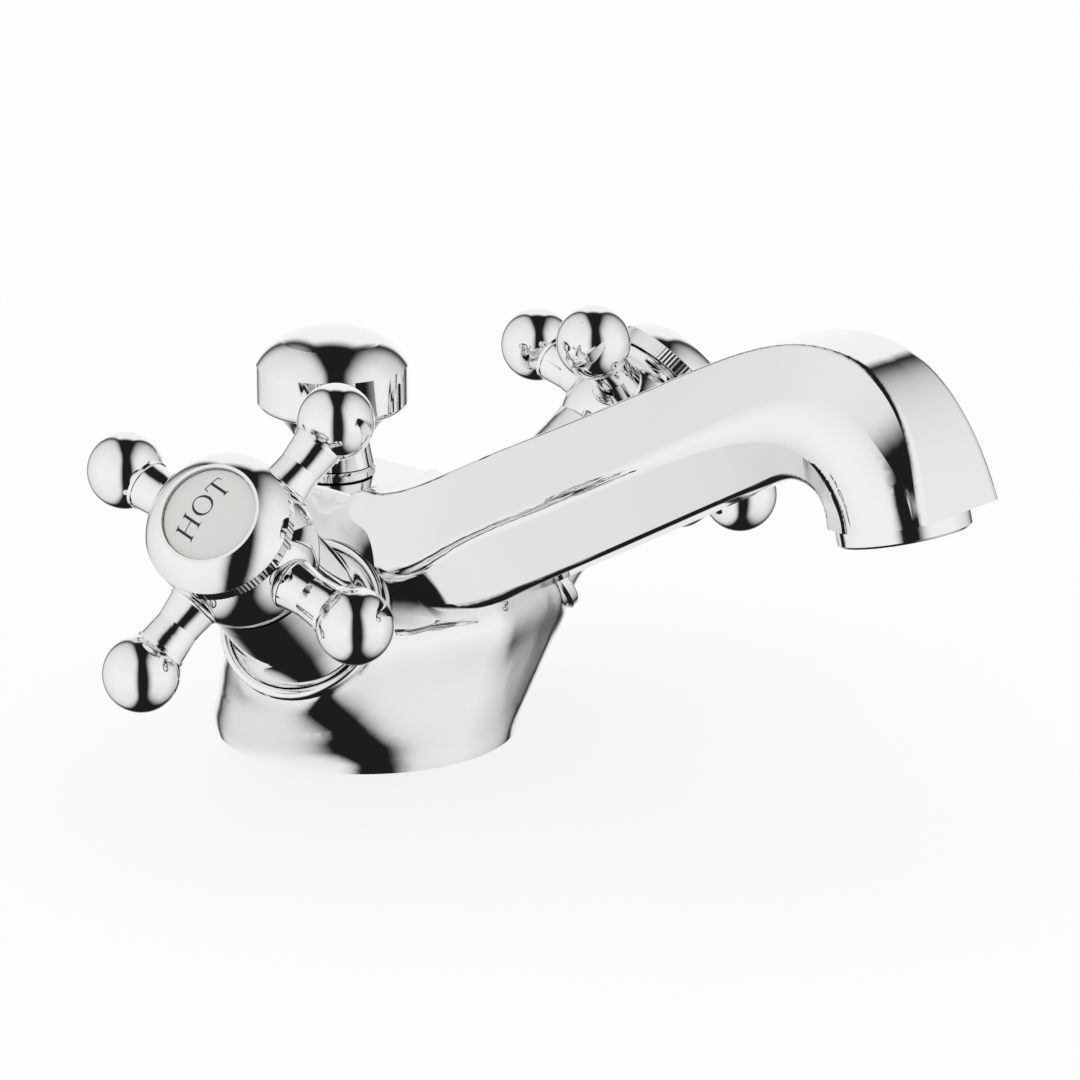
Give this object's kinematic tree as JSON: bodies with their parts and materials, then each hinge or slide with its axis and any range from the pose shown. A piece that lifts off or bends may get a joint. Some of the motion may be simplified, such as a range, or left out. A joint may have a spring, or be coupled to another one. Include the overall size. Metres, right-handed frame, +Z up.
{
  "type": "basin mixer tap",
  "caption": "Deck-mounted basin mixer tap: flared body with arched spout, ball-ended cross handles turning ceramic disc valves, and a pull-up waste knob behind.",
  "frame": {"origin": "centre of the base on the deck plane, which is the mouth of the fixing stud's hole", "axes": "+Z up from the deck, -Y the way the spout reaches, -X the hot side; X is the axis of mirror symmetry"},
  "size_m": [0.1606, 0.1698, 0.0972],
  "materials": {
    "cast_chrome": "mirror chrome plate on a polished brass casting",
    "chrome": "mirror chrome plate on turned brass",
    "brass": "machined brass",
    "steel": "stainless steel",
    "rubber": "matt black rubber",
    "ceramic": "lapped alumina, opaque",
    "index_enamel": "satin warm grey index plate",
    "white_plastic": "moulded plastic"
  },
  "bodies": {
    "tap_body": {"body_casting": "cast_chrome", "base_gasket": "rubber", "rod_guide_bush": "chrome", "rod_seal": "rubber", "aerator_housing": "chrome", "aerator_insert": "white_plastic", "aerator_mesh": "steel", "aerator_gasket": "rubber", "hot_shroud": "chrome", "hot_headwork_body": "brass", "hot_headwork_washer": "rubber", "hot_seat_seal": "rubber", "hot_fixed_disc": "ceramic", "cold_shroud": "chrome", "cold_headwork_body": "brass", "cold_headwork_washer": "rubber", "cold_seat_seal": "rubber", "cold_fixed_disc": "ceramic"},
    "hot_handle": {"hot_moving_disc": "ceramic", "hot_spindle": "brass", "hot_spindle_seals": "rubber", "hot_circlip": "steel", "hot_handle_hub": "chrome", "hot_handle_screw": "steel", "hot_index_cap": "chrome", "hot_index_disc": "index_enamel", "hot_ball_arm_1": "chrome", "hot_ball_arm_2": "chrome", "hot_ball_arm_3": "chrome", "hot_ball_arm_4": "chrome"},
    "cold_handle": {"cold_moving_disc": "ceramic", "cold_spindle": "brass", "cold_spindle_seals": "rubber", "cold_circlip": "steel", "cold_handle_hub": "chrome", "cold_handle_screw": "steel", "cold_index_cap": "chrome", "cold_index_disc": "index_enamel", "cold_ball_arm_1": "chrome", "cold_ball_arm_2": "chrome", "cold_ball_arm_3": "chrome", "cold_ball_arm_4": "chrome"},
    "waste_pull": {"waste_knob": "chrome", "lift_rod": "steel"}
  },
  "joints": [
    {"name": "hot_handle_turn", "type": "hinge", "parent": "tap_body", "child": "hot_handle", "pos_m": [-0.05405, -0.02027, 0.05215], "axis": [-0.7354, -0.2547, 0.628], "range_deg": [0, 90]},
    {"name": "cold_handle_turn", "type": "hinge", "parent": "tap_body", "child": "cold_handle", "pos_m": [0.05405, -0.02027, 0.05215], "axis": [0.7354, -0.2547, 0.628], "range_deg": [-90, 0]},
    {"name": "waste_knob_lift", "type": "slide", "parent": "tap_body", "child": "waste_pull", "axis": [0, 0, 1], "range_m": [0, 0.012]}
  ]
}
